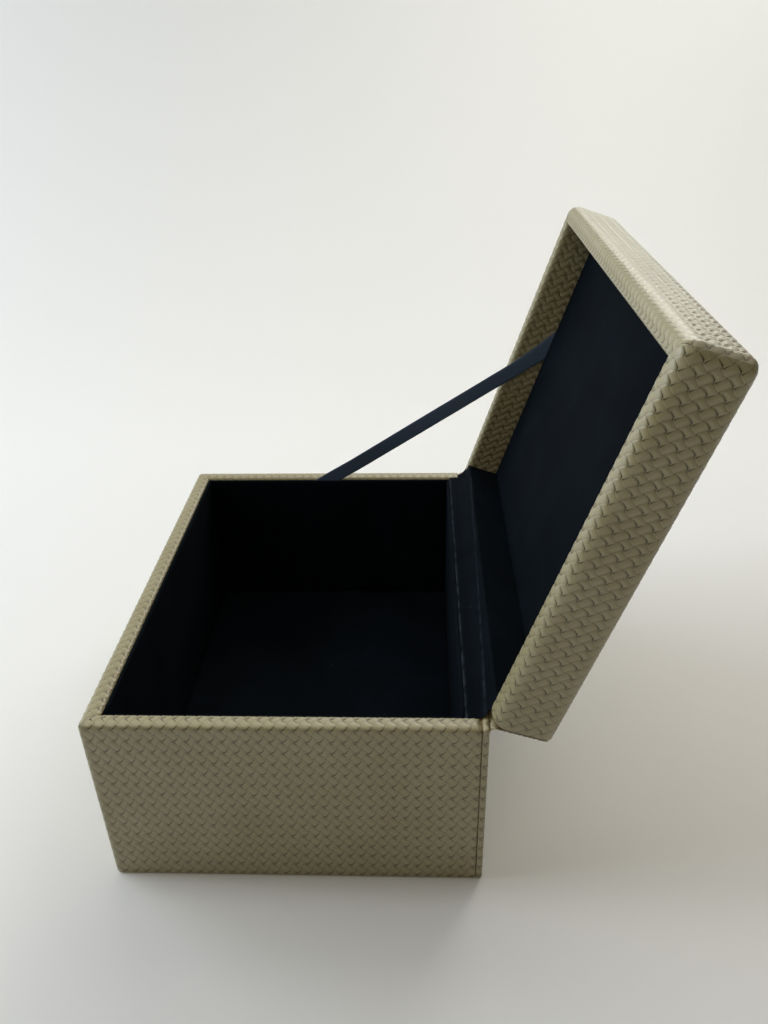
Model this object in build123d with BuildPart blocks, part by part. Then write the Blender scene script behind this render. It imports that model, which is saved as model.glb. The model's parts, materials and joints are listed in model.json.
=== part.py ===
"""Leather-covered storage box: a board base with a velvet-lined tray and a lid on a leather hinge.

The origin is the middle of the base carcass on the table, +Z up, front towards -Y, hinge at +Y.
The lid stands open, held back by a taut ribbon on the left.
"""

import os
from math import cos, radians, sin, tan

from build123d import *

os.makedirs("parts", exist_ok=True)

# Overall sizes over the leather
box_width = 270.6
box_depth = 200.0
base_height = 111.0
lid_height = 32.8
lid_open_angle = 108.3

# Boards, sheets and cloth
base_wall_board = 7.6
lid_wall_board = 9.2
bottom_board = 5.4
top_board = 8.5
back_board = 2.4
leather = 0.9
hinge_skin = 0.5
card = 1.2
velvet = 0.6
felt = 0.8
felt_proud = 0.2
felt_gap = 0.3

# Roundings, measured on the leather
base_corner_radius = 2.6
base_edge_radius = 1.2
lid_corner_radius = 4.0
lid_edge_radius = 3.6
lid_rear_radius = 2.2
rim_radius = 2.0
back_corner_radius = 1.0

# Folds of the leather and the hinge strips
turn_in = 14.0
cover_margin = 5.6
rim_gap = 0.4
hinge_rise = 1.0
hinge_reach = 8.0
leather_fold_radius = 0.4
velvet_tuck = 16.0
velvet_edge_radius = 1.5
velvet_crease_radius = 9.0

# Lining panels and ribbon
lining_drop = 1.6
lining_gap = 0.2
ribbon_width = 10.0
ribbon_thickness = 0.4
ribbon_clearance = 0.1
ribbon_lean = 0.45
ribbon_tail = 20.0
ribbon_base_from_front = 100.0
ribbon_lid_from_hinge = 112.0

# Places that follow from the sizes
half_width = box_width / 2
half_depth = box_depth / 2
base_wall = leather + base_wall_board + leather
lid_wall = leather + lid_wall_board + leather
base_tray_height = base_height - felt_proud
base_inner_half = half_width - base_wall
lid_inner_half = half_width - lid_wall
front_lining_y = base_wall - half_depth
rear_board_y = half_depth - base_wall_board
rear_rim = base_height - leather
bottom_board_top = felt + bottom_board
lining = card + velvet
hinge_y = half_depth + back_board + leather
hinge_z = base_height + hinge_rise
lid_rim = rim_gap - hinge_rise
lid_top = lid_rim + lid_height
lid_depth = box_depth + back_board
lid_board_face = leather + top_board
open_angle = radians(lid_open_angle)

# Working planes: each tray's closed face, with its rim along +Z and its rear along +Y
base_tray = Plane((0, -half_depth, felt_proud))
closed_lid = Plane((0, -half_depth, hinge_z + lid_top), x_dir=(-1, 0, 0), z_dir=(0, 0, -1))
lid_swing = Pos(0, hinge_y, hinge_z) * Rot(-lid_open_angle, 0, 0) * Pos(0, -hinge_y, -hinge_z)
lid_tray = Plane(lid_swing * closed_lid.location)
lid_section = Plane((0, hinge_y, hinge_z), x_dir=(0, cos(open_angle), -sin(open_angle)), z_dir=(1, 0, 0))


def lid_point(rearward, outward):
    """Y and Z of a point of the lid, counted from the hinge line as on the closed lid."""
    point = lid_section.from_local_coords((rearward, outward, 0))
    return (point.Y, point.Z)


def save(builder, name):
    """Labels a finished piece and writes it."""
    builder.part.label = name
    export_step(builder.part, f"parts/{name}.step")


def wrapped_walls(tray, depth, height, corner, edge, rear_edge, inset, thickness):
    """A front wall and two side walls, open at the rear, set in from the box's outer faces."""
    up = Axis(tray.origin, tray.z_dir)
    rearward = Axis(tray.origin, tray.y_dir)
    with BuildPart() as walls:
        with BuildSketch(tray.offset(inset)) as outline:
            with Locations((0, (inset + depth) / 2)):
                Rectangle(box_width - 2 * inset, depth - inset)
            fillet(outline.vertices().group_by(Axis.Y)[0], corner - inset)
        extrude(amount=height - 2 * inset)
        if rear_edge:
            fillet(walls.faces().sort_by(up)[0].edges().sort_by(rearward)[-1], rear_edge - inset)
        closed_edges = walls.faces().sort_by(up)[0].edges()
        fillet(closed_edges - closed_edges.group_by(rearward)[-1], edge - inset)
        with BuildSketch(tray.offset(inset)):
            with Locations((0, inset + thickness + depth / 2)):
                Rectangle(box_width - 2 * (inset + thickness), depth)
        extrude(amount=height, mode=Mode.SUBTRACT)
        rim_edges = walls.faces().sort_by(up)[-1].edges()
        fillet(rim_edges - rim_edges.group_by(rearward)[-1], rim_radius - inset)
    return walls.part


def leather_band(tray, depth, height, envelope, boards, board, flange, inner_fold):
    """The leather strip over such walls: outer faces, rim, inner fold and the flange on the closed face."""
    with BuildPart() as band:
        add(envelope)
        add(boards, mode=Mode.SUBTRACT)
        with BuildSketch(tray):
            with Locations((0, flange + depth / 2)):
                Rectangle(box_width - 2 * flange, depth)
        extrude(amount=leather, mode=Mode.SUBTRACT)
        with BuildSketch(tray):
            with Locations((0, leather + board + depth / 2)):
                Rectangle(box_width - 2 * (leather + board), depth)
        extrude(amount=height - inner_fold, mode=Mode.SUBTRACT)
    return band.part


def wall_piece(tray, boards, board, depth, height, side):
    """One board of the three: side is -1 or 1 along the tray's own X, and 0 for the front."""
    middle = box_width - 2 * (leather + board)
    with BuildPart() as piece:
        add(boards)
        with BuildSketch(tray):
            if side:
                with Locations((side * (half_width + middle / 2) / 2, depth / 2)):
                    Rectangle(half_width - middle / 2, depth)
            else:
                with Locations((0, depth / 2)):
                    Rectangle(middle, depth)
        extrude(amount=height, mode=Mode.INTERSECT)
    return piece


def ribbon_strip(extra_width, front, behind):
    """A flat strip along the stay ribbon, from inside the base's left wall to inside the lid's."""
    start = Vector(ribbon_lean - base_inner_half, ribbon_base_from_front - half_depth, base_height - lining_drop)
    end = Vector(ribbon_lean - lid_inner_half, *lid_point(-ribbon_lid_from_hinge, lid_top - lid_board_face - lining))
    along = end - start
    facing = along.cross(Vector(1, 0, 0)).cross(along)
    with BuildPart() as strip:
        with BuildSketch(Plane((start + end) * 0.5, x_dir=along, z_dir=facing).offset(-behind)):
            Rectangle(along.length + 4 * ribbon_tail, ribbon_width + extra_width)
        extrude(amount=behind + front)
    return strip.part


def covered_card(name, plane, width, height, holds_ribbon=False):
    """A lining panel on a plane at its back: a card and the velvet over its face and edges."""
    with BuildPart() as stiffener:
        with BuildSketch(plane):
            Rectangle(width - 2 * velvet, height - 2 * velvet)
        extrude(amount=card)
        if holds_ribbon:
            add(ribbon_slot, mode=Mode.SUBTRACT)
    with BuildPart() as cover:
        with BuildSketch(plane):
            Rectangle(width, height)
        extrude(amount=card + velvet)
        with BuildSketch(plane):
            Rectangle(width - 2 * velvet, height - 2 * velvet)
        extrude(amount=card, mode=Mode.SUBTRACT)
        if holds_ribbon:
            add(ribbon_slot, mode=Mode.SUBTRACT)
    save(stiffener, f"{name}_card")
    save(cover, f"{name}_velvet")


ribbon_slot = ribbon_strip(2 * ribbon_clearance, ribbon_thickness + ribbon_clearance, base_wall)

# Base carcass: three wrapped wall boards, the rear board between the sides, and the bottom board
base_walls = wrapped_walls(
    base_tray, box_depth, base_tray_height, base_corner_radius, base_edge_radius, 0, leather, base_wall_board
)
for side, name in ((-1, "base_left_board"), (0, "base_front_board"), (1, "base_right_board")):
    save(wall_piece(base_tray, base_walls, base_wall_board, box_depth, base_tray_height, side), name)

base_between = box_width - 2 * (leather + base_wall_board)
with BuildPart() as base_rear_board:
    with BuildSketch(base_tray):
        with Locations((0, box_depth - base_wall_board / 2)):
            Rectangle(base_between, base_wall_board)
    extrude(amount=rear_rim - felt_proud)
    inner_top = base_rear_board.edges().filter_by(Axis.X).group_by(Axis.Z)[-1].sort_by(Axis.Y)[0]
    fillet(inner_top, velvet_edge_radius - hinge_skin / 2)
save(base_rear_board, "base_rear_board")

bottom_depth = box_depth - leather - 2 * base_wall_board
bottom_y = rear_board_y - bottom_depth / 2
with BuildPart() as base_bottom_board:
    with BuildSketch(Plane.XY.offset(felt)):
        with Locations((0, bottom_y)):
            Rectangle(base_between, bottom_depth)
    extrude(amount=bottom_board)
save(base_bottom_board, "base_bottom_board")

# Leather round the base, turned under the walls and over the rim, its inner edge behind the linings
base_envelope = wrapped_walls(
    base_tray, box_depth, base_tray_height, base_corner_radius, base_edge_radius, 0, 0, base_wall
)
base_flange = leather + base_wall_board
with BuildPart() as base_leather_wrap:
    add(
        leather_band(
            base_tray, box_depth, base_tray_height, base_envelope, base_walls, base_wall_board, base_flange, turn_in
        )
    )
    add(base_rear_board.part, mode=Mode.SUBTRACT)
save(base_leather_wrap, "base_leather_wrap")

# Felt sheet under the bottom board, a little proud of the leather, that the box stands on
with BuildPart() as underside_felt:
    with BuildSketch():
        with Locations((0, bottom_y)):
            Rectangle(base_between - 2 * felt_gap, bottom_depth - 2 * felt_gap)
    extrude(amount=felt)
save(underside_felt, "underside_felt")

# Back panel: a thin board glued on the carcass's back, in its own leather
with BuildPart() as back_panel_board:
    with BuildSketch(base_tray.offset(leather)):
        with Locations((0, box_depth + back_board / 2)):
            Rectangle(box_width - 2 * leather, back_board)
    extrude(amount=rear_rim - felt_proud - leather)
save(back_panel_board, "back_panel_board")

with BuildPart() as back_panel_leather:
    back_panel = back_board + leather
    with BuildSketch(base_tray) as outline:
        with Locations((0, box_depth + back_panel / 2)):
            Rectangle(box_width, back_panel)
        fillet(outline.vertices().group_by(Axis.Y)[-1], back_corner_radius)
    extrude(amount=rear_rim - felt_proud)
    add(back_panel_board.part, mode=Mode.SUBTRACT)
    with BuildSketch(Plane.XY.offset(hinge_z - hinge_reach)):
        with Locations((0, hinge_y - leather / 2)):
            Rectangle(box_width, leather)
    extrude(amount=hinge_reach, mode=Mode.SUBTRACT)
save(back_panel_leather, "back_panel_leather")

# Velvet-covered cards on the floor and the four walls of the tray
wall_lining_height = base_height - lining_drop - bottom_board_top
wall_lining_z = bottom_board_top + wall_lining_height / 2
rear_lining_y = rear_board_y - hinge_skin
side_lining_depth = rear_lining_y - front_lining_y
side_lining_y = (rear_lining_y + front_lining_y) / 2
end_lining_width = 2 * (base_inner_half - lining - lining_gap)
front_plane = Plane((0, front_lining_y, wall_lining_z), x_dir=(1, 0, 0), z_dir=(0, 1, 0))
rear_plane = Plane((0, rear_lining_y, wall_lining_z), x_dir=(1, 0, 0), z_dir=(0, -1, 0))
left_plane = Plane((-base_inner_half, side_lining_y, wall_lining_z), x_dir=(0, 1, 0), z_dir=(1, 0, 0))
right_plane = Plane((base_inner_half, side_lining_y, wall_lining_z), x_dir=(0, 1, 0), z_dir=(-1, 0, 0))
floor_plane = Plane((0, side_lining_y, bottom_board_top))
covered_card("front_lining", front_plane, end_lining_width, wall_lining_height)
covered_card("rear_lining", rear_plane, end_lining_width, wall_lining_height)
covered_card("left_lining", left_plane, side_lining_depth, wall_lining_height, holds_ribbon=True)
covered_card("right_lining", right_plane, side_lining_depth, wall_lining_height)
covered_card("floor_lining", floor_plane, end_lining_width, side_lining_depth - 2 * (lining + lining_gap))

# Lid frame: three wrapped wall boards, the rear board, and the top board between them
lid_walls = wrapped_walls(
    lid_tray, lid_depth, lid_height, lid_corner_radius, lid_edge_radius, lid_rear_radius, leather, lid_wall_board
)
for side, name in ((1, "lid_left_board"), (0, "lid_front_board"), (-1, "lid_right_board")):
    save(wall_piece(lid_tray, lid_walls, lid_wall_board, lid_depth, lid_height, side), name)

lid_between = box_width - 2 * (leather + lid_wall_board)
lid_rear_inner = leather + lid_wall_board
with BuildPart() as lid_rear_board:
    with BuildSketch(lid_section) as profile:
        with BuildLine():
            Polyline(
                (-lid_rear_inner, lid_rim + leather),
                (-leather, lid_rim + leather),
                (-leather, lid_top - leather),
                (-lid_rear_inner, lid_top - leather),
                close=True,
            )
        make_face()
        outer_top = profile.vertices().group_by(Axis.Y)[-1].sort_by(Axis.X)[-1]
        fillet(outer_top, lid_rear_radius - leather)
        inner_rim = profile.vertices().group_by(Axis.Y)[0].sort_by(Axis.X)[0]
        fillet(inner_rim, velvet_edge_radius - hinge_skin / 2)
    extrude(amount=lid_between / 2, both=True)
save(lid_rear_board, "lid_rear_board")

with BuildPart() as lid_top_board:
    top_depth = lid_depth - leather - 2 * lid_wall_board
    with BuildSketch(lid_tray.offset(leather)):
        with Locations((0, lid_depth - lid_wall_board - top_depth / 2)):
            Rectangle(lid_between, top_depth)
    extrude(amount=top_board)
save(lid_top_board, "lid_top_board")

# Leather sheet over the lid's top and down its rear, as far as the hinge strip
with BuildPart() as lid_cover_leather:
    with BuildSketch(lid_section):
        with BuildLine():
            FilletPolyline(
                (-lid_depth - leather + cover_margin, lid_top - leather / 2),
                (-leather / 2, lid_top - leather / 2),
                (-leather / 2, hinge_reach),
                radius=lid_rear_radius - leather / 2,
            )
        trace(line_width=leather)
    extrude(amount=half_width, both=True)
    with BuildSketch(lid_tray):
        with GridLocations(box_width - cover_margin, 0, 2, 1):
            with Locations((0, lid_depth / 2)):
                Rectangle(cover_margin, lid_depth)
    extrude(amount=lid_height, mode=Mode.SUBTRACT)
save(lid_cover_leather, "lid_cover_leather")

# Leather round the lid, turned over its rim and down to the lining panel, its flange beside the cover
lid_envelope = wrapped_walls(
    lid_tray, lid_depth, lid_height, lid_corner_radius, lid_edge_radius, lid_rear_radius, 0, lid_wall
)
lid_inner_fold = lid_height - lid_board_face
with BuildPart() as lid_leather_band:
    add(
        leather_band(
            lid_tray, lid_depth, lid_height, lid_envelope, lid_walls, lid_wall_board, cover_margin, lid_inner_fold
        )
    )
    add(lid_rear_board.part, mode=Mode.SUBTRACT)
    add(lid_cover_leather.part, mode=Mode.SUBTRACT)
save(lid_leather_band, "lid_leather_band")

# Lining panel inside the lid, between the leather-covered walls
panel_rear = lid_rear_inner + hinge_skin
panel_front = lid_depth + leather - lid_wall
panel_depth = panel_front - panel_rear - 2 * lining_gap
panel_plane = Plane(
    lid_tray.from_local_coords((0, lid_depth + leather - (panel_front + panel_rear) / 2, lid_board_face)),
    x_dir=(1, 0, 0),
    z_dir=lid_tray.z_dir,
)
covered_card("lid_panel", panel_plane, 2 * (lid_inner_half - lining_gap), panel_depth, holds_ribbon=True)

# Leather hinge: the skived fold between the back panel and the lid's rear
skin_middle = hinge_skin / 2
fold_drop = skin_middle * tan(open_angle / 2)
with BuildPart() as hinge_leather:
    with BuildSketch(Plane.YZ):
        with BuildLine():
            FilletPolyline(
                (hinge_y - skin_middle, hinge_z - hinge_reach),
                lid_point(-skin_middle, -fold_drop),
                lid_point(-skin_middle, hinge_reach),
                radius=leather_fold_radius,
            )
        trace(line_width=hinge_skin)
    extrude(amount=half_width, both=True)
save(hinge_leather, "hinge_leather")

# Velvet hinge strip: from behind the rear lining, over both rear rims and down the lid's rear wall
base_strip_y = rear_board_y - skin_middle
base_strip_z = rear_rim + skin_middle
lid_strip_in = -lid_rear_inner - skin_middle
lid_strip_out = lid_rim + leather - skin_middle
crease = (lid_strip_out * cos(open_angle) - (base_strip_z - hinge_z)) / sin(open_angle)
with BuildPart() as hinge_velvet:
    with BuildSketch(Plane.YZ):
        with BuildLine():
            FilletPolyline(
                (base_strip_y, base_height - velvet_tuck),
                (base_strip_y, base_strip_z),
                lid_point(crease, lid_strip_out),
                lid_point(lid_strip_in, lid_strip_out),
                lid_point(lid_strip_in, lid_top - lid_board_face),
                radius=(velvet_edge_radius, velvet_crease_radius, velvet_edge_radius),
            )
        trace(line_width=hinge_skin)
    extrude(amount=lid_inner_half, both=True)
save(hinge_velvet, "hinge_velvet")

# Stay ribbon: tucked behind the left lining below and beside the lid's panel above
with BuildPart() as lid_stay_ribbon:
    add(ribbon_strip(0, ribbon_thickness, 0))
    split(bisect_by=Plane.XY.offset(base_height - lining_drop - ribbon_tail), keep=Keep.TOP)
    split(bisect_by=lid_tray.offset(lid_board_face), keep=Keep.TOP)
save(lid_stay_ribbon, "lid_stay_ribbon")
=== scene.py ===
import json
from math import ceil, copysign, cos, exp, floor, pi, radians, sin, sqrt, tan

import bmesh
import bpy
from mathutils import Matrix, Vector


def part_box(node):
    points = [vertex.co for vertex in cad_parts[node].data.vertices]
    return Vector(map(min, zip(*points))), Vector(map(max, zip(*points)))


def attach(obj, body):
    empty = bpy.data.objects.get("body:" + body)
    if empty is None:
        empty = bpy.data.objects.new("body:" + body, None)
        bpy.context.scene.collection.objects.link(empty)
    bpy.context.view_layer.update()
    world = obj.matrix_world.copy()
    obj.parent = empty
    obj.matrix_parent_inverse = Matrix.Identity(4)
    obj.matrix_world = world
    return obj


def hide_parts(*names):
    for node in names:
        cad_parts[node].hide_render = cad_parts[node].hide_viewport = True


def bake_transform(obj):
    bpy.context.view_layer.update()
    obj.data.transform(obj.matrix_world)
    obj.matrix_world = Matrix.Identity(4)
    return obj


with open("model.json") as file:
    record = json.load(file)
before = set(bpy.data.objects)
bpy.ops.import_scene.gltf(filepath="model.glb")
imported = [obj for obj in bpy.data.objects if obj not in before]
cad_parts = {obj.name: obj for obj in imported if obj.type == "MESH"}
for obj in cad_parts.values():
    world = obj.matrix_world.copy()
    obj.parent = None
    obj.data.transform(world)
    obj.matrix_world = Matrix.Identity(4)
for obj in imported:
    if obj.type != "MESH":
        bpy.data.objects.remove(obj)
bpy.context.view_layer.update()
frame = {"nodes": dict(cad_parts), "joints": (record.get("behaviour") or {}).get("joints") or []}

# Boards: fibreboard walls, bottom, top and back panel, sawn square and glued at the corners.
# Leather, felt and lining cover them all, and only a raw edge shows here and there beside the hinge.
mm = 0.001


def linear(colour):
    """An sRGB hex colour as linear values with alpha."""
    parts = [int(colour[i:i + 2], 16) / 255 for i in (1, 3, 5)]
    return [p / 12.92 if p <= 0.04045 else ((p + 0.055) / 1.055) ** 2.4 for p in parts] + [1.0]


def add(owner, kind, inputs, stops=(), **settings):
    """Adds a node with its settings, values and links, and the places and colours of a ramp's stops.
    A node that is there from the start, such as the shader, is found by its name instead."""
    nodes = owner.node_tree.nodes
    node = nodes.get(kind) or nodes.new(kind)
    for name, value in settings.items():
        setattr(node, name, value)
    for socket, value in inputs.items():
        if isinstance(value, bpy.types.NodeSocket):
            owner.node_tree.links.new(value, node.inputs[socket])
        else:
            node.inputs[socket].default_value = value
    while stops and len(node.color_ramp.elements) < len(stops):
        node.color_ramp.elements.new(0.5)
    for number, (place, colour) in enumerate(stops):
        node.color_ramp.elements[number].position = place
        node.color_ramp.elements[number].color = linear(colour)
    return node


def finish_named(name):
    """A new material with its shader and output, ready for more nodes."""
    material = bpy.data.materials.new(name)
    material.use_nodes = True
    return material


def dress(ending, material):
    """Gives a finish to the frame's own solids whose names have this ending."""
    for name, node in frame["nodes"].items():
        if name.endswith(ending):
            for material_slot in node.material_slots:
                material_slot.material = material


# Medium-density fibreboard, sawn: dull pale brown with short felted flecks
fibreboard = finish_named("sawn_fibreboard")
place = add(fibreboard, "ShaderNodeTexCoord", {}).outputs["Object"]
flecks = add(fibreboard, "ShaderNodeTexNoise", {"Vector": place, "Scale": 1 / (0.8 * mm), "Detail": 5.0})
fleck = flecks.outputs["Fac"]
tone = add(fibreboard, "ShaderNodeValToRGB", {"Fac": fleck}, stops=((0.3, "#6E5B43"), (0.7, "#8B7657")))
fuzz = add(fibreboard, "ShaderNodeBump", {"Height": fleck, "Strength": 0.5, "Distance": 0.1 * mm})
add(
    fibreboard,
    "Principled BSDF",
    {"Base Color": tone.outputs["Color"], "Normal": fuzz.outputs["Normal"], "Roughness": 0.9, "IOR": 1.45},
)
dress("_board", fibreboard)

# Lid walls: the same board, rounded under the leather at the corners, the rim and the top edge.
# They are glued round the lid's top board, with the side walls' rear ends cut off at a slant beside the hinge.
hinge = Vector(frame["joints"][0]["pos_m"])
open_angle = radians(frame["joints"][0]["range_deg"][1])
lid_open = Matrix.Translation(hinge) @ Matrix.Rotation(-open_angle, 4, "X") @ Matrix.Translation(-hinge)
lid_corner = 6.2 * mm
lid_edge = 5.0 * mm
lid_rim = 6.2 * mm
leather_thick = 0.9 * mm
board_half = 134.4 * mm
board_front = -99.1 * mm
board_inner = 9 * mm
rear_slant = 1.35 * mm
close = 0.02 * mm


def shut_box(node):
    """Lowest and highest corners of one of the lid's solids, with the lid shut."""
    points = [lid_open.inverted() @ vert.co for vert in frame["nodes"][node].data.vertices]
    return [Vector(pick(point[i] for point in points) for i in range(3)) for pick in (min, max)]


def round_off(mesh, edges, radius, segments):
    """Rounds edges off to a radius."""
    bmesh.ops.bevel(
        mesh, geom=edges, offset=radius, affect="EDGES", segments=segments, profile=0.5, material=-1
    )


def cut(mesh, point, outward, drop=True):
    """Cuts a mesh along a plane, and drops what lies on its outward side."""
    whole = mesh.verts[:] + mesh.edges[:] + mesh.faces[:]
    bmesh.ops.bisect_plane(mesh, geom=whole, plane_co=point, plane_no=outward, clear_outer=drop, dist=1e-7)


def finished(mesh, name, material, smooth=True):
    """Makes the object of a finished mesh."""
    data = bpy.data.meshes.new(name)
    mesh.to_mesh(data)
    mesh.free()
    if smooth:
        data.shade_smooth()
    data.materials.append(material)
    piece = bpy.data.objects.new(name, data)
    bpy.context.scene.collection.objects.link(piece)
    return piece


for side in ("left", "right", "front"):
    low, high = shut_box(f"lid_{side}_board")
    mesh = bmesh.new()
    bmesh.ops.create_cube(mesh, size=1.0)
    bmesh.ops.scale(mesh, vec=high - low, verts=mesh.verts)
    bmesh.ops.translate(mesh, vec=(low + high) / 2, verts=mesh.verts)
    corner_edges = [
        edge
        for edge in mesh.edges
        if all(abs(abs(vert.co.x) - board_half) + abs(vert.co.y - board_front) < close for vert in edge.verts)
    ]
    if corner_edges:
        round_off(mesh, corner_edges, lid_corner - leather_thick, 6)
    for level, radius in ((low.z, lid_rim - leather_thick), (high.z, lid_edge - leather_thick)):
        outer_edges = []
        for edge in mesh.edges:
            middle = (edge.verts[0].co + edge.verts[1].co) / 2
            if side == "front":
                inside = middle.y > board_front + board_inner
                at_end = abs(abs(middle.x) - high.x) < close
            else:
                inside = abs(middle.x) < board_half - board_inner
                at_end = abs(middle.y - high.y) < close
            at_level = all(abs(vert.co.z - level) < close for vert in edge.verts)
            if at_level and not inside and not at_end:
                outer_edges.append(edge)
        round_off(mesh, outer_edges, radius, 6)
    if side != "front":
        cut(mesh, (0, high.y - rear_slant, low.z + rear_slant), (0, 1, -1))
        bmesh.ops.holes_fill(mesh, edges=[edge for edge in mesh.edges if edge.is_boundary])
    bmesh.ops.transform(mesh, matrix=lid_open, verts=mesh.verts)
    wall = finished(mesh, f"lid_{side}_wall", fibreboard, smooth=False)
    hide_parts(f"lid_{side}_board")
    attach(wall, "lid")

# Base leather: one strip of embossed leather round the front and both sides of the base.
# It is glued on, turned over the rim and under the walls, and mitred at the two front corners.
base_low, base_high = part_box("base_leather_wrap")
base_width = base_high.x - base_low.x
base_depth = base_high.y - base_low.y
base_rise = base_high.z - base_low.z
base_wall = 9.4 * mm
base_corner = 2.6 * mm
base_rim = 2.0 * mm
base_foot = 1.2 * mm
base_rear_turn = 1.2 * mm
base_rear_round = 2.4 * mm
base_turned_in = 3 * mm
foot_margin = 1 * mm
corner_spare = 1 * mm
rear_spare = 1.5 * mm
# Half a pitch of the weave across and up, its rise, the share of it that lies below the sheet's face,
# and the share of relief that is left where the sheet is stretched over an edge
weave_across = 3.007 * mm
weave_up = 3.82 * mm
weave_rise = 0.7 * mm
weave_level = 0.75
stretched = 0.6
# Mesh lines of one crossing, and shares of the rise at each of them: along a strip that lies on top, across it,
# across the two kinds of end that dive under a neighbour, and in the gaps beside it
weave_lines = (0.0, 0.1, 0.32, 0.68, 0.9)
float_height = (0.0, 0.04, 0.92, 0.96, 0.34)
float_side = (0.0, 0.86, 1.0, 1.0, 0.86)
dive_height = ((0.0, 0.0, 0.1, 0.32, 0.55), (0.0, 0.0, 0.02, 0.14, 0.42))
side_height = (0.0, 0.5, 0.84, 0.84, 0.5)
float_bulge = 0.2


def woven_sheet(first, length, width, lift=0.0):
    """Flat leather: X along the strip from first, Y across it, Z the height of its pressed weave.
    Each strip lies flat where it floats over another and dives at both ends under its neighbours."""
    left, right = first / weave_across, (first + length) / weave_across
    low, high = -lift / weave_up, (width - lift) / weave_up
    rise_first, rise_last = floor((left + low) / 2), ceil((right + high) / 2)
    fall_first, fall_last = floor((left - high) / 2), ceil((right - low) / 2)
    parts = len(weave_lines)
    rises, falls = parts * (rise_last - rise_first), parts * (fall_last - fall_first)
    sheet = bmesh.new()
    bmesh.ops.create_grid(sheet, x_segments=rises, y_segments=falls, size=0.5)
    for vert in sheet.verts:
        rise, rise_part = divmod(round((vert.co.x + 0.5) * rises), parts)
        fall, fall_part = divmod(round((vert.co.y + 0.5) * falls), parts)
        falling = (rise + fall + rise_first + fall_first) % 2
        if rise_part and fall_part:
            along, across = (fall_part, rise_part) if falling else (parts - rise_part, fall_part)
            if along == 1:
                height = dive_height[falling][across]
            else:
                height = float_height[along] * float_side[across]
        else:
            height = side_height[rise_part or fall_part]
        up, down = weave_lines[rise_part], weave_lines[fall_part]
        if falling:
            bulge = sin(pi * up) * (1 - down) ** 2 + sin(pi * down) * (1 - up) ** 2
        else:
            bulge = sin(pi * down) * up ** 2 + sin(pi * up) * down ** 2
        up, down = rise + rise_first + up, fall + fall_first + down
        vert.co = (
            (up + down + float_bulge * bulge) * weave_across,
            (up - down) * weave_up + lift,
            (height - weave_level) * weave_rise,
        )
    bmesh.ops.recalc_face_normals(sheet, faces=sheet.faces)
    if sum(face.normal.z for face in sheet.faces) < 0:
        bmesh.ops.reverse_faces(sheet, faces=sheet.faces)
    cut(sheet, (first, 0, 0), (-1, 0, 0))
    cut(sheet, (first + length, 0, 0), (1, 0, 0))
    cut(sheet, (0, 0, 0), (0, -1, 0))
    cut(sheet, (0, width, 0), (0, 1, 0))
    return sheet


def fold_point(fold, travel):
    """Point and outward direction after some travel along a fold line, and whether it bends there.
    A fold is a start, inward and up, a heading, and the length and turn of each straight run or arc."""
    (inward, upward), heading, runs = fold
    for length, turn in runs:
        step = min(travel, length)
        if turn:
            radius = length / turn
            ahead = heading + step / radius
            inward += radius * (sin(ahead) - sin(heading))
            upward += radius * (cos(heading) - cos(ahead))
            heading = ahead
        else:
            inward += step * cos(heading)
            upward += step * sin(heading)
        travel -= step
        if travel <= 0:
            break
    return inward, upward, -sin(heading), cos(heading), bool(turn)


def fold_length(fold):
    """Length of a fold line."""
    return sum(length for length, _ in fold[2])


def lay_sheet(sheet, first, straight, turns, fold):
    """Bends a flat sheet along a fold line, and round an edge at each end of its straight run."""
    # The weave's height is kept on the sheet; the leather uses it to paint shade into its lowest hollows
    weave_layer = sheet.verts.layers.float.new("weave")
    for vert in sheet.verts:
        along, travel, height = vert.co
        inward, upward, out_in, out_up, bent = fold_point(fold, travel)
        vert[weave_layer] = height / weave_rise + weave_level
        along -= first
        past = along - min(max(along, 0.0), straight)
        if bent or past:
            height *= stretched
        radius = turns[0] if past < 0 else turns[1]
        angle = min(abs(past) / radius, pi / 2)
        beyond = abs(past) - angle * radius
        reach = (radius + height) * sin(angle)
        drop = (radius + height) * cos(angle) - radius - beyond
        vert.co = (
            turns[0] + along - past + (reach if past > 0 else -reach),
            inward + out_in * drop,
            upward + out_up * drop,
        )


def join(whole, part):
    """Adds one mesh to another and frees it."""
    mesh = bpy.data.meshes.new("part")
    part.to_mesh(mesh)
    part.free()
    whole.from_mesh(mesh)
    bpy.data.meshes.remove(mesh)


def eased(share):
    """A share kept between 0 and 1, with a gentle start and end."""
    share = min(max(share, 0.0), 1.0)
    return share * share * (3 - 2 * share)


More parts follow.
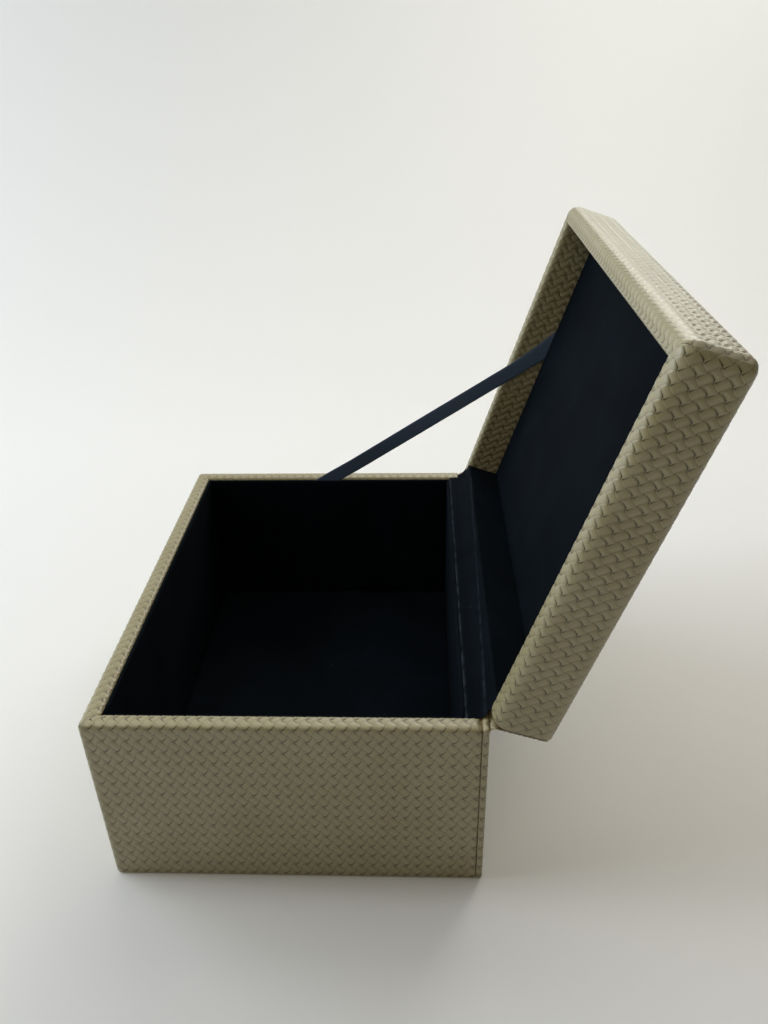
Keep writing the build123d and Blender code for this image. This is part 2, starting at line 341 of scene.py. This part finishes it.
def tray_leather(width, depth, rise, corner, rear_turn, rear_round, fold):
    """Leather on the left, front and right of a tray, whose own frame has its front at Y 0 and its rim up."""
    whole = bmesh.new()
    quarter = corner * pi / 2
    side_run = depth - rear_turn - corner
    front_run = width - 2 * corner
    left_side = Matrix(((0, 1, 0, -width / 2), (-1, 0, 0, depth), (0, 0, 1, 0), (0, 0, 0, 1)))
    front_side = Matrix.Translation((-width / 2, 0, 0))
    right_side = Matrix(((0, -1, 0, width / 2), (1, 0, 0, 0), (0, 0, 1, 0), (0, 0, 0, 1)))
    for first, run, span, turns, place in (
        (0, side_run, depth, (rear_turn, corner), left_side),
        (side_run + quarter, front_run, width, (corner, corner), front_side),
        (side_run + front_run + 2 * quarter, side_run, depth, (corner, rear_turn), right_side),
    ):
        before, after = (turn * pi / 2 + (corner_spare if turn == corner else rear_spare) for turn in turns)
        sheet = woven_sheet(first - before, run + before + after, fold_length(fold))
        lay_sheet(sheet, first, run, turns, fold)
        if turns[0] == corner:
            cut(sheet, (0, 0, 0), (-1, 1, 0))
        if turns[1] == corner:
            cut(sheet, (span, 0, 0), (1, 1, 0))
        bmesh.ops.transform(sheet, matrix=place, verts=sheet.verts)
        join(whole, sheet)
    bmesh.ops.remove_doubles(whole, verts=whole.verts, dist=close)
    for vert in whole.verts:
        past = min(max(vert.co.y - depth + rear_round, 0.0), rear_round)
        near_rim = eased((vert.co.z - rise) / (2.5 * rear_round) + 1)
        vert.co.z -= near_rim * (rear_round - sqrt(rear_round ** 2 - past ** 2))
    return whole


def crisp(piece):
    """Keeps a piece's broad faces flat to the eye, so that narrow steps and edges look sharp."""
    normals = piece.modifiers.new("crisp", "WEIGHTED_NORMAL")
    normals.weight = 70


# Coated split leather pressed with a basket weave: satin khaki strips, with painted shade that darkens the
# colour where the weave is lowest, deep in its hollows and corners, and with faint blotches a few centimetres
# wide and a fine grain
leather = finish_named("pressed_leather")
place = add(leather, "ShaderNodeTexCoord", {}).outputs["Object"]
relief = add(leather, "ShaderNodeAttribute", {}, attribute_name="weave")
# Painted shade: the ramp turns the leather nearly black where the weave is lowest, in the hollows where shade
# falls; its upper stops are the leather's own colour
tone = add(
    leather,
    "ShaderNodeValToRGB",
    {"Fac": relief.outputs["Fac"]},
    stops=((0.05, "#2A2513"), (0.28, "#867E5E"), (0.5, "#A09876"), (1.0, "#A69E7C")),
)
blotch = add(leather, "ShaderNodeTexNoise", {"Vector": place, "Scale": 1 / (35 * mm), "Detail": 3.0})
cast = add(
    leather, "ShaderNodeValToRGB", {"Fac": blotch.outputs["Fac"]}, stops=((0.3, "#F2EFE6"), (0.7, "#FFFFFF"))
)
tint = add(
    leather,
    "ShaderNodeMix",
    {0: 1.0, 6: tone.outputs["Color"], 7: cast.outputs["Color"]},
    data_type="RGBA",
    blend_type="MULTIPLY",
)
pores = add(leather, "ShaderNodeTexNoise", {"Vector": place, "Scale": 1 / (0.9 * mm), "Detail": 4.0})
pore = pores.outputs["Fac"]
dull = add(leather, "ShaderNodeMapRange", {"Value": pore, "To Min": 0.28, "To Max": 0.42})
grain = add(leather, "ShaderNodeBump", {"Height": pore, "Strength": 0.12, "Distance": 0.1 * mm})
add(
    leather,
    "Principled BSDF",
    {
        "Base Color": tint.outputs[2],
        "Roughness": dull.outputs["Result"],
        "Normal": grain.outputs["Normal"],
        "IOR": 1.5,
        "Coat Weight": 0.4,
        "Coat Roughness": 0.3,
    },
)

base_fold = (
    (base_foot + foot_margin, 0),
    pi,
    (
        (foot_margin, 0),
        (base_foot * pi / 2, -pi / 2),
        (base_rise - base_foot - base_rim, 0),
        (base_rim * pi / 2, -pi / 2),
        (base_wall - 2 * base_rim, 0),
        (base_rim * pi / 2, -pi / 2),
        (base_turned_in, 0),
    ),
)
mesh = tray_leather(
    base_width, base_depth, base_rise, base_corner, base_rear_turn, base_rear_round, base_fold
)
bmesh.ops.translate(mesh, vec=(0, base_low.y, base_low.z), verts=mesh.verts)
base_leather = finished(mesh, "base_leather", leather)
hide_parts("base_leather_wrap")
crisp(base_leather)
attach(base_leather, "base")

# Leather turn-under: the raw margin of the base leather, pared thin and glued flat under the three walls.
# The felt sheet lies between its inner edges.
turn_under_width = 6.6 * mm
turn_under_thick = 0.5 * mm
turn_under_inset = base_foot + foot_margin
turn_under_low = base_low + Vector((turn_under_inset, turn_under_inset, turn_under_thick))
turn_under_high = Vector((base_high.x - turn_under_inset, base_high.y, base_low.z + turn_under_thick))
turn_under_size = turn_under_high - turn_under_low
mesh = bmesh.new()
bmesh.ops.create_grid(mesh, x_segments=1, y_segments=1, size=0.5)
bmesh.ops.scale(mesh, vec=(turn_under_size.x, turn_under_size.y, 1), verts=mesh.verts)
bmesh.ops.translate(mesh, vec=(turn_under_low + turn_under_high) / 2, verts=mesh.verts)
bmesh.ops.inset_region(mesh, faces=mesh.faces[:], thickness=turn_under_width, use_boundary=True)
felt_place = min(mesh.faces, key=lambda face: face.calc_center_median().length)
rear_strip = max(mesh.faces, key=lambda face: face.calc_center_median().y)
bmesh.ops.delete(mesh, geom=[felt_place, rear_strip], context="FACES")
bmesh.ops.solidify(mesh, geom=mesh.faces[:], thickness=turn_under_thick)
bmesh.ops.recalc_face_normals(mesh, faces=mesh.faces)
turn_under = finished(mesh, "leather_turn_under", leather)
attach(turn_under, "base")

# Underside felt: a sheet of pressed wool felt, glued on the bottom board, a little proud of the leather.
# The box stands on it.
felt_low, felt_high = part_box("underside_felt")
felt_size = felt_high - felt_low
felt_corner = 3 * mm
felt_edge = 0.3 * mm
felt_close = 0.1 * mm
# Pressed wool felt: black, matt, with matted fibres a millimetre or two long
felt = finish_named("pressed_felt")
place = add(felt, "ShaderNodeTexCoord", {}).outputs["Object"]
fibres = add(
    felt, "ShaderNodeTexNoise", {"Vector": place, "Scale": 1 / (1.5 * mm), "Detail": 6.0, "Distortion": 1.5}
)
fibre = fibres.outputs["Fac"]
tone = add(felt, "ShaderNodeValToRGB", {"Fac": fibre}, stops=((0.3, "#101113"), (0.75, "#26282B")))
matted = add(felt, "ShaderNodeBump", {"Height": fibre, "Strength": 0.6, "Distance": 0.2 * mm})
add(
    felt,
    "Principled BSDF",
    {
        "Base Color": tone.outputs["Color"],
        "Normal": matted.outputs["Normal"],
        "Roughness": 0.95,
        "Sheen Weight": 0.2,
        "Sheen Roughness": 0.6,
    },
)
mesh = bmesh.new()
bmesh.ops.create_cube(mesh, size=1.0)
bmesh.ops.scale(mesh, vec=felt_size, verts=mesh.verts)
bmesh.ops.translate(mesh, vec=(felt_low + felt_high) / 2, verts=mesh.verts)
upright_edges = [edge for edge in mesh.edges if abs(edge.verts[0].co.z - edge.verts[1].co.z) > felt_close]
round_off(mesh, upright_edges, felt_corner, 5)
lower_edges = [edge for edge in mesh.edges if all(vert.co.z < felt_low.z + felt_close for vert in edge.verts)]
round_off(mesh, lower_edges, felt_edge, 2)
underside = finished(mesh, "underside_sheet", felt)
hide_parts("underside_felt")
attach(underside, "base")

# Back leather: one sheet up the back panel, across the hinge as a soft fold and along the lid's rear wall.
# It is glued on, wraps the back panel's upright edges, and is pared thin where it folds.
back_lift = 0.2 * mm
back_margin = 1 * mm
back_turn = 1.0 * mm
back_flap = 2.3 * mm
flap_gap = 0.1 * mm
hinge_bend = 2.4 * mm
hinge_tangent = hinge_bend * tan(open_angle / 2)
lid_rear_edge = 2.2 * mm
lid_above_hinge = 32.2 * mm
lid_depth = 202.4 * mm
cover_margin = 5.6 * mm
back_fold = (
    (back_turn + back_margin, back_lift),
    pi,
    (
        (back_margin, 0),
        (back_turn * pi / 2, -pi / 2),
        (hinge.z - back_lift - back_turn - hinge_tangent, 0),
        (hinge_bend * open_angle, open_angle),
        (lid_above_hinge - lid_rear_edge - hinge_tangent, 0),
        (lid_rear_edge * pi / 2, -pi / 2),
        (lid_depth - lid_rear_edge - cover_margin + leather_thick, 0),
    ),
)
back_place = Matrix(((-1, 0, 0, base_width / 2), (0, -1, 0, hinge.y), (0, 0, 1, 0), (0, 0, 0, 1)))
back_length = sum(length for length, _ in back_fold[2][:5])
panel_length = sum(length for length, _ in back_fold[2][:3]) - flap_gap
back_run = base_width - 2 * back_turn
back_quarter = back_turn * pi / 2
back_wrap = back_quarter + back_flap
mesh = woven_sheet(-back_wrap, back_run + 2 * back_wrap, back_length)
cut(mesh, (0, panel_length, 0), (0, 1, 0), drop=False)
cut(mesh, (-back_quarter, 0, 0), (1, 0, 0), drop=False)
cut(mesh, (back_run + back_quarter, 0, 0), (1, 0, 0), drop=False)
flaps = []
for face in mesh.faces:
    middle = face.calc_center_median()
    if middle.y > panel_length and not -back_quarter < middle.x < back_run + back_quarter:
        flaps.append(face)
bmesh.ops.delete(mesh, geom=flaps, context="FACES")
# Its two top corners are trimmed to follow the lid's rounded edge
below_top = [back_length + lid_rear_edge - vert.co.y for vert in mesh.verts]
lay_sheet(mesh, 0, back_run, (back_turn, back_turn), back_fold)
for vert, drop in zip(mesh.verts, below_top):
    if drop < lid_edge:
        from_middle = vert.co.x - base_width / 2
        near_end = max(0.0, abs(from_middle) - base_width / 2 + cover_margin) / cover_margin
        inset = lid_edge - sqrt(lid_edge ** 2 - (lid_edge - drop) ** 2)
        vert.co.x -= copysign(inset * near_end, from_middle)
bmesh.ops.transform(mesh, matrix=back_place, verts=mesh.verts)
back_leather = finished(mesh, "back_leather", leather)
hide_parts("back_panel_leather", "hinge_leather")
crisp(back_leather)
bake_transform(back_leather)

# Back panel's top edge: a narrow strip of the same leather, pared so that little of its weave is left.
# It is turned over the panel's top and tucked in behind the carcass.
panel_thick = 3.3 * mm
edge_radius = 1.1 * mm
edge_below_hinge = 1 * mm
edge_lap = 1.4 * mm
edge_tuck = 3 * mm
edge_weave_start = 1 * mm
pared = 0.35
edge_fold = (
    (0, hinge.z - edge_below_hinge - edge_radius - edge_lap),
    pi / 2,
    (
        (edge_lap, 0),
        (edge_radius * pi / 2, -pi / 2),
        (panel_thick - 2 * edge_radius, 0),
        (edge_radius * pi / 2, -pi / 2),
        (edge_tuck, 0),
    ),
)
edge_wrap = back_quarter + panel_thick / 2 - back_turn
mesh = woven_sheet(-edge_wrap, back_run + 2 * edge_wrap, fold_length(edge_fold), edge_weave_start)
bmesh.ops.scale(mesh, vec=(1, 1, pared), verts=mesh.verts)
lay_sheet(mesh, 0, back_run, (back_turn, back_turn), edge_fold)
bmesh.ops.transform(mesh, matrix=back_place, verts=mesh.verts)
back_edge = finished(mesh, "back_panel_edge", leather)
crisp(back_edge)
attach(back_edge, "base")

# Lid leather: a strip of the same leather glued round the lid's front and sides, turned over its rim
# and down its inner walls to the lining panel, with a narrow flange on the lid's top.
lid_top = hinge.z + lid_above_hinge
lid_rise = 32.8 * mm
lid_wall = 11.0 * mm
lid_recess = 21.6 * mm
lid_inner_rim = 2.4 * mm
lid_rear_turn = 0.7 * mm
lid_rear_round = 5.2 * mm
behind_panel = 1 * mm
lid_tray = lid_open @ Matrix.Translation((0, base_low.y, lid_top)) @ Matrix.Rotation(pi, 4, "Y")
lid_fold = (
    (cover_margin, 0),
    pi,
    (
        (cover_margin - lid_edge, 0),
        (lid_edge * pi / 2, -pi / 2),
        (lid_rise - lid_edge - lid_rim, 0),
        (lid_rim * pi / 2, -pi / 2),
        (lid_wall - lid_rim - lid_inner_rim, 0),
        (lid_inner_rim * pi / 2, -pi / 2),
        (lid_recess - lid_inner_rim + behind_panel, 0),
    ),
)
mesh = tray_leather(base_width, lid_depth, lid_rise, lid_corner, lid_rear_turn, lid_rear_round, lid_fold)
bmesh.ops.transform(mesh, matrix=lid_tray, verts=mesh.verts)
lid_leather = finished(mesh, "lid_leather", leather)
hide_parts("lid_leather_band")
crisp(lid_leather)
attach(lid_leather, "lid")

# Lid cover: the same leather, which goes on from the back leather over the lid's rear edge and its top.
# It is glued down, let in between the flanges of the lid leather.
mesh = woven_sheet(cover_margin, base_width - 2 * cover_margin, fold_length(back_fold))
cut(mesh, (0, back_length, 0), (0, -1, 0))
lay_sheet(mesh, 0, base_width, (back_turn, back_turn), back_fold)
bmesh.ops.translate(mesh, vec=(-back_turn, 0, 0), verts=mesh.verts)
bmesh.ops.transform(mesh, matrix=back_place, verts=mesh.verts)
lid_cover = finished(mesh, "lid_cover", leather)
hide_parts("lid_cover_leather")
crisp(lid_cover)
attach(lid_cover, "lid")

# Lining panels: cards covered with velvet that is turned round their edges, pressed in between the walls.
# Five line the base and one lines the lid's top.
velvet_bevel = 0.7 * mm
velvet_crown = 0.35 * mm
velvet_mesh_size = 6 * mm
puff_rise = 0.12 * mm
puff_across = 17 * mm
puff_up = 23 * mm

# Grey paperboard: plain, matt, with a faint speckle
paperboard = finish_named("grey_paperboard")
place = add(paperboard, "ShaderNodeTexCoord", {}).outputs["Object"]
speckle = add(paperboard, "ShaderNodeTexNoise", {"Vector": place, "Scale": 1 / (1.2 * mm), "Detail": 4.0})
tone = add(
    paperboard,
    "ShaderNodeValToRGB",
    {"Fac": speckle.outputs["Fac"]},
    stops=((0.3, "#7F7C75"), (0.7, "#98958D")),
)
add(paperboard, "Principled BSDF", {"Base Color": tone.outputs["Color"], "Roughness": 0.9})
dress("_card", paperboard)

# Cotton velvet: near-black blue, with a soft sheen where its pile is seen edge on, brushed patches and a little
# lint, and greyer in broken patches along the creases of the hinge strip
velvet = finish_named("cotton_velvet")
place = add(velvet, "ShaderNodeTexCoord", {}).outputs["Object"]
brushed = add(
    velvet, "ShaderNodeTexNoise", {"Vector": place, "Scale": 1 / (45 * mm), "Detail": 2.0, "Distortion": 0.6}
)
pile = add(velvet, "ShaderNodeTexNoise", {"Vector": place, "Scale": 1 / (0.8 * mm), "Detail": 3.0})
nap = add(velvet, "ShaderNodeMix", {0: 0.4, 2: brushed.outputs["Fac"], 3: pile.outputs["Fac"]})
tone = add(velvet, "ShaderNodeValToRGB", {"Fac": nap.outputs[0]}, stops=((0.3, "#070C11"), (0.7, "#0F161D")))
lint = add(velvet, "ShaderNodeTexVoronoi", {"Vector": place, "Scale": 1 / (14 * mm)})
bits = add(
    velvet,
    "ShaderNodeMapRange",
    {"Value": lint.outputs["Distance"], "From Min": 0.012, "From Max": 0.03, "To Min": 1.0, "To Max": 0.0},
)
linted = add(
    velvet,
    "ShaderNodeMix",
    {0: bits.outputs["Result"], 6: tone.outputs["Color"], 7: linear("#4A525C")},
    data_type="RGBA",
)
# Greyer in broken patches along the hinge strip's creases, set by the crease attribute and a noise
creased = add(velvet, "ShaderNodeAttribute", {}, attribute_name="crease")
crease_patches = add(velvet, "ShaderNodeTexNoise", {"Vector": place, "Scale": 1 / (7 * mm), "Detail": 4.0})
patchy = add(
    velvet, "ShaderNodeMapRange", {"Value": crease_patches.outputs["Fac"], "From Min": 0.35, "From Max": 0.65}
)
crease_lightening = add(
    velvet, "ShaderNodeMath", {0: creased.outputs["Fac"], 1: patchy.outputs["Result"]}, operation="MULTIPLY"
)
crease_lightened = add(
    velvet,
    "ShaderNodeMix",
    {0: crease_lightening.outputs[0], 6: linted.outputs[2], 7: linear("#5A646E")},
    data_type="RGBA",
)
tufts = add(
    velvet, "ShaderNodeBump", {"Height": pile.outputs["Fac"], "Strength": 0.4, "Distance": 0.25 * mm}
)
add(
    velvet,
    "Principled BSDF",
    {
        "Base Color": crease_lightened.outputs[2],
        "Normal": tufts.outputs["Normal"],
        "Roughness": 0.85,
        "Specular IOR Level": 0.03,
        "Sheen Weight": 0.008,
        "Sheen Roughness": 0.35,
        "Sheen Tint": linear("#A9BCD2"),
    },
)


def facing(across, up, middle):
    """A matrix that stands a panel's own frame with its X and Y along two directions."""
    turn = Matrix((across, up, Vector(across).cross(Vector(up)))).transposed().to_4x4()
    return Matrix.Translation(middle) @ turn


def line(name, node, body, width, height, depth, place):
    """A card's velvet cover, made face up in its own frame, then put in its place and fixed there."""
    cells = [round(size / velvet_mesh_size) for size in (width, height)]
    panel = bmesh.new()
    bmesh.ops.create_grid(panel, x_segments=cells[0], y_segments=cells[1], size=0.5)
    bmesh.ops.scale(panel, vec=(width, height, 1), verts=panel.verts)
    border = [edge for edge in panel.edges if edge.is_boundary]
    turned = bmesh.ops.extrude_edge_only(panel, edges=border)["geom"]
    turned_verts = [part for part in turned if isinstance(part, bmesh.types.BMVert)]
    bmesh.ops.translate(panel, vec=(0, 0, -depth), verts=turned_verts)
    round_off(panel, border, velvet_bevel, 3)
    for vert in panel.verts:
        across, up = 2 * vert.co.x / width, 2 * vert.co.y / height
        if vert.co.z > -close / 2:
            puff = sin(vert.co.x / puff_across + 2 * sin(vert.co.y / puff_up)) * puff_rise
            vert.co.z += (velvet_crown + puff) * max(0.0, 1 - across ** 4) * max(0.0, 1 - up ** 4)
    bmesh.ops.recalc_face_normals(panel, faces=panel.faces)
    if sum(face.normal.z * face.calc_area() for face in panel.faces) < 0:
        bmesh.ops.reverse_faces(panel, faces=panel.faces)
    bmesh.ops.transform(panel, matrix=place, verts=panel.verts)
    lining = finished(panel, name, velvet)
    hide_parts(node)
    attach(lining, body)


for side, across, up in (
    ("floor", (1, 0, 0), (0, 1, 0)),
    ("front", (-1, 0, 0), (0, 0, 1)),
    ("rear", (1, 0, 0), (0, 0, 1)),
    ("left", (0, 1, 0), (0, 0, 1)),
    ("right", (0, -1, 0), (0, 0, 1)),
):
    low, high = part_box(f"{side}_lining_velvet")
    outward = Vector(across).cross(Vector(up))
    width, height, depth = (abs((high - low).dot(Vector(way))) for way in (across, up, outward))
    place = facing(across, up, (low + high) / 2 + outward * depth / 2)
    line(
        f"{side}_lining", f"{side}_lining_velvet", "base", width, height, depth, place
    )

low, high = shut_box("lid_panel_velvet")
width, height, depth = high - low
place = lid_open @ facing((-1, 0, 0), (0, 1, 0), Vector((0, (low.y + high.y) / 2, low.z)))
line("lid_lining", "lid_panel_velvet", "lid", width, height, depth, place)

# Hinge velvet: a strip of the same velvet over both rear rims, glued down behind the rear lining and
# behind the lid's panel, and loose across the hinge, where it lies in soft creases.
strip_near = 127.2 * mm
strip_far = -130.6 * mm
strip_width = strip_near - strip_far
strip_bend = 0.6 * mm
strip_valley = 9.0 * mm
base_lap = 14.75 * mm
base_rim_run = 3.558 * mm
lid_rim_run = 4.968 * mm
lid_lap = 22.15 * mm
base_inner_half = 125.7 * mm
lid_rim_half = 125.6 * mm
lid_inner_half = 124.2 * mm
strip_fold = (
    (92.15 * mm, 95 * mm),
    pi / 2,
    (
        (base_lap, 0),
        (strip_bend * pi / 2, -pi / 2),
        (base_rim_run, 0),
        (strip_valley * (pi - open_angle), pi - open_angle),
        (lid_rim_run, 0),
        (strip_bend * pi / 2, -pi / 2),
        (lid_lap, 0),
    ),
)
strip_length = fold_length(strip_fold)
# Where along its length the strip is loose, how high it lifts and ripples there, and where it is at its widest
loose_middle, loose_reach = 0.48 * strip_length, 0.3 * strip_length
lift_off, ripple_rise, ripple_up = 0.45 * mm, 0.28 * mm, 3.1 * mm
wide_middle, wide_half, wide_fade = 0.47 * strip_length, 12 * mm, 6 * mm
lid_part = 0.45 * strip_length
# Lighter creases: one along the base's rim, and one that runs at a slant across the valley
rim_crease, valley_crease, valley_slant, crease_half = 15.2 * mm, 25 * mm, 12 * mm, 0.8 * mm
mesh = bmesh.new()
crease_layer = mesh.verts.layers.float.new("crease")
bmesh.ops.create_grid(mesh, x_segments=120, y_segments=130, size=0.5)
for vert in mesh.verts:
    across = (vert.co.x + 0.5) * strip_width + strip_far
    travel = (vert.co.y + 0.5) * strip_length
    loose = max(0.0, 1 - abs(travel - loose_middle) / loose_reach)
    ripple = sin(across / (9 * mm) + 1.7 * sin(across / (31 * mm))) + 0.6 * sin(across / (5.3 * mm) + 2.0)
    inward, upward, out_in, out_up, _ = fold_point(strip_fold, travel)
    height = (lift_off + ripple_rise * ripple * sin(travel / ripple_up)) * loose
    narrow = min(max((abs(travel - wide_middle) - wide_half) / wide_fade, 0.0), 1.0)
    if across < -lid_inner_half:
        across += (-lid_inner_half - across) * narrow
    if travel < base_lap:
        across = min(across, base_inner_half)
    elif travel > lid_part:
        across = min(across, lid_rim_half if travel < strip_length - lid_lap else lid_inner_half)
    slant = 0.5 - across / strip_width
    for crease, strength in ((rim_crease, 0.28), (valley_crease + valley_slant * slant, 0.2)):
        vert[crease_layer] = max(vert[crease_layer], strength * exp(-((travel - crease) / crease_half) ** 2))
    vert.co = (across, inward + out_in * height, upward + out_up * height)
bmesh.ops.remove_doubles(mesh, verts=mesh.verts, dist=close)
bmesh.ops.recalc_face_normals(mesh, faces=mesh.faces)
if sum(face.normal.z * face.calc_area() for face in mesh.faces) < 0:
    bmesh.ops.reverse_faces(mesh, faces=mesh.faces)
hinge_velvet = finished(mesh, "hinge_strip", velvet)
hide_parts("hinge_velvet")
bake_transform(hinge_velvet)

# Stay ribbon: a woven ribbon that stops the lid. Its lower end is tucked in behind the left lining.
# Its upper end is drawn out on one side to the slant of the lid's panel, and glued under it.
ribbon_start = Vector((-125.45, 0, 109.4)) * mm
ribbon_end = Vector((-123.85, 158.4, 211.7)) * mm
ribbon_width = 10 * mm
ribbon_thick = 0.4 * mm
ribbon_tail = 34 * mm
ribbon_tuck = 4 * mm
ribbon_line = ribbon_end - ribbon_start
ribbon_span = ribbon_line.length
ribbon_length = ribbon_span + ribbon_tail + ribbon_tuck
ribbon_along = ribbon_line.normalized()
ribbon_side = Vector((1, 0, 0)).cross(ribbon_along).normalized()
flare_run, flare_width = 28 * mm, 3 * mm
panel_slant = 1.1
lean_run, lean_shift = 30 * mm, 1.6 * mm
curl_run, curl_length, curl_rise = 20 * mm, 19 * mm, 0.25 * mm
rib_pitch = 1.0 * mm
# Rayon ribbon in a rib weave: dark blue-grey and half matt, with firm edges.
# Its cross ribs are drawn a millimetre apart, coarser than real ones, so that they show
ribbed = finish_named("rib_woven_ribbon")
place = add(ribbed, "ShaderNodeUVMap", {}, uv_map="along").outputs["UV"]
# At a scale of 1, a wave texture repeats every 0.31
ribs = add(
    ribbed,
    "ShaderNodeTexWave",
    {"Vector": place, "Scale": 0.31 / rib_pitch, "Distortion": 0.6},
    bands_direction="Y",
)
rib = ribs.outputs["Fac"]
tone = add(ribbed, "ShaderNodeValToRGB", {"Fac": rib}, stops=((0.2, "#475770"), (0.8, "#5B6E89")))
ridges = add(ribbed, "ShaderNodeBump", {"Height": rib, "Strength": 0.5, "Distance": 0.12 * mm})
add(
    ribbed,
    "Principled BSDF",
    {
        "Base Color": tone.outputs["Color"],
        "Normal": ridges.outputs["Normal"],
        "Roughness": 0.6,
        "Sheen Weight": 0.12,
        "Sheen Roughness": 0.4,
        "Sheen Tint": linear("#9FB0C6"),
    },
)
mesh = bmesh.new()
bmesh.ops.create_grid(mesh, x_segments=6, y_segments=110, size=0.5)
along_map = mesh.loops.layers.uv.new("along")
for face in mesh.faces:
    for loop in face.loops:
        loop[along_map].uv = (loop.vert.co.x * ribbon_width, loop.vert.co.y * ribbon_length)
for vert in mesh.verts:
    across = vert.co.x * ribbon_width
    travel = (vert.co.y + 0.5) * ribbon_length - ribbon_tail
    flare = max(0.0, (travel - ribbon_span + flare_run) / flare_run)
    if across > 0:
        across += across / (ribbon_width / 2) * flare_width * flare ** 2
    reach = max(0.0, across) * panel_slant * flare ** 2
    curl = curl_rise * sin(travel / curl_length) * min(max(travel / curl_run, 0.0), 1.0)
    spot = ribbon_start + ribbon_along * (travel + reach) + ribbon_side * across
    spot.x = ribbon_start.x + lean_shift * eased(travel / lean_run) + curl * vert.co.x
    vert.co = spot
mesh.normal_update()
bmesh.ops.solidify(mesh, geom=mesh.faces[:], thickness=ribbon_thick)
bmesh.ops.recalc_face_normals(mesh, faces=mesh.faces)
ribbon = finished(mesh, "stay_ribbon", ribbed)
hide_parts("lid_stay_ribbon")
crisp(ribbon)
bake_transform(ribbon)

# Floor and backdrop: one sheet of white paper that the box stands on.
# It lies flat, and is swept up in a wide bend behind the box. Sizes are in metres.
sweep_half = 6.0
sweep_shift = 4.6
sweep_height = 5
sweep_bend = 1.0
# White paper: plain and matt
white_paper = finish_named("white_paper_sweep")
add(white_paper, "Principled BSDF", {"Base Color": linear("#F2F2F1"), "Roughness": 0.7})
mesh = bmesh.new()
bmesh.ops.create_grid(mesh, x_segments=1, y_segments=1, size=sweep_half)
bmesh.ops.translate(mesh, vec=(sweep_shift, 0, 0), verts=mesh.verts)
far_edge = [edge for edge in mesh.edges if all(vert.co.x < -1 for vert in edge.verts)]
swept_up = bmesh.ops.extrude_edge_only(mesh, edges=far_edge)["geom"]
swept_up_verts = [part for part in swept_up if isinstance(part, bmesh.types.BMVert)]
bmesh.ops.translate(mesh, vec=(0, 0, sweep_height), verts=swept_up_verts)
round_off(mesh, far_edge, sweep_bend, 24)
bmesh.ops.recalc_face_normals(mesh, faces=mesh.faces)
ground = finished(mesh, "white_sweep", white_paper)

# Studio light: a large cool window on the box's front side, soft panels above and behind it,
# and weak ones from the other sides that lift the shadows. The room itself adds a faint warm glow.
room = bpy.data.worlds.new("studio")
room.use_nodes = True
add(room, "Background", {"Color": linear("#F2E6D0"), "Strength": 0.03})
bpy.context.scene.world = room
for name, spot, target, spread, energy, colour in (
    ("window", (-0.3, -1.6, 1.0), (0, 0, 0.1), (1.6, 1.6), 24, "#EFF8FF"),
    ("high_behind", (-1.3, 0.0, 1.6), (0, 0, 0), (1.6, 1.6), 9, "#FFF4E8"),
    ("low_behind", (-1.25, 0.5, 1.0), (0, 0, 0.2), (1.0, 1.0), 11.5, "#FFFEF5"),
    ("right", (-0.1, 0.8, 1.35), (0, 0.1, 0.2), (1.0, 1.0), 2.2, "#FFFFFF"),
    ("above", (0.04, -0.3, 1.1), (0.04, 0.05, 0), (0.18, 0.9), 1.1, "#FFFFFF"),
    ("inner", (0.1, -0.7, 0.45), (-0.1, 0.15, 0.22), (0.06, 0.4), 0.45, "#E8F1FF"),
    ("front", (1.3, 0.0, 1.6), (0, 0, 0), (1.2, 1.2), 4, "#FFEDC8"),
):
    lamp = bpy.data.lights.new(name, "AREA")
    lamp.shape = "RECTANGLE"
    lamp.size, lamp.size_y = spread
    lamp.energy = energy
    lamp.color = linear(colour)[:3]
    stand = bpy.data.objects.new(name, lamp)
    stand.location = spot
    stand.rotation_mode = "QUATERNION"
    stand.rotation_quaternion = (Vector(target) - Vector(spot)).to_track_quat("-Z", "Y")
    bpy.context.scene.collection.objects.link(stand)

# Camera: it looks down on the box's right side from a little behind its middle, held slightly askew.
# Its place, angles and lens follow the photograph's edges.
camera_place = (0.43337, 0.06906, 0.40628)
yaw, pitch, roll = radians(-2.741), radians(30.137), radians(-1.48)
lens = bpy.data.cameras.new("camera")
lens.lens = 29.47
lens.sensor_width = 36
camera = bpy.data.objects.new("camera", lens)
sight = Vector((-cos(pitch) * cos(yaw), cos(pitch) * sin(yaw), -sin(pitch)))
level = sight.cross(Vector((0, 0, 1))).normalized()
upright = level.cross(sight)
right = cos(roll) * level + sin(roll) * upright
above = -sin(roll) * level + cos(roll) * upright
turn = Matrix((right, above, -sight)).transposed().to_4x4()
camera.matrix_world = Matrix.Translation(camera_place) @ turn
bpy.context.scene.collection.objects.link(camera)
bpy.context.scene.camera = camera
bpy.context.scene.view_settings.view_transform = "Standard"
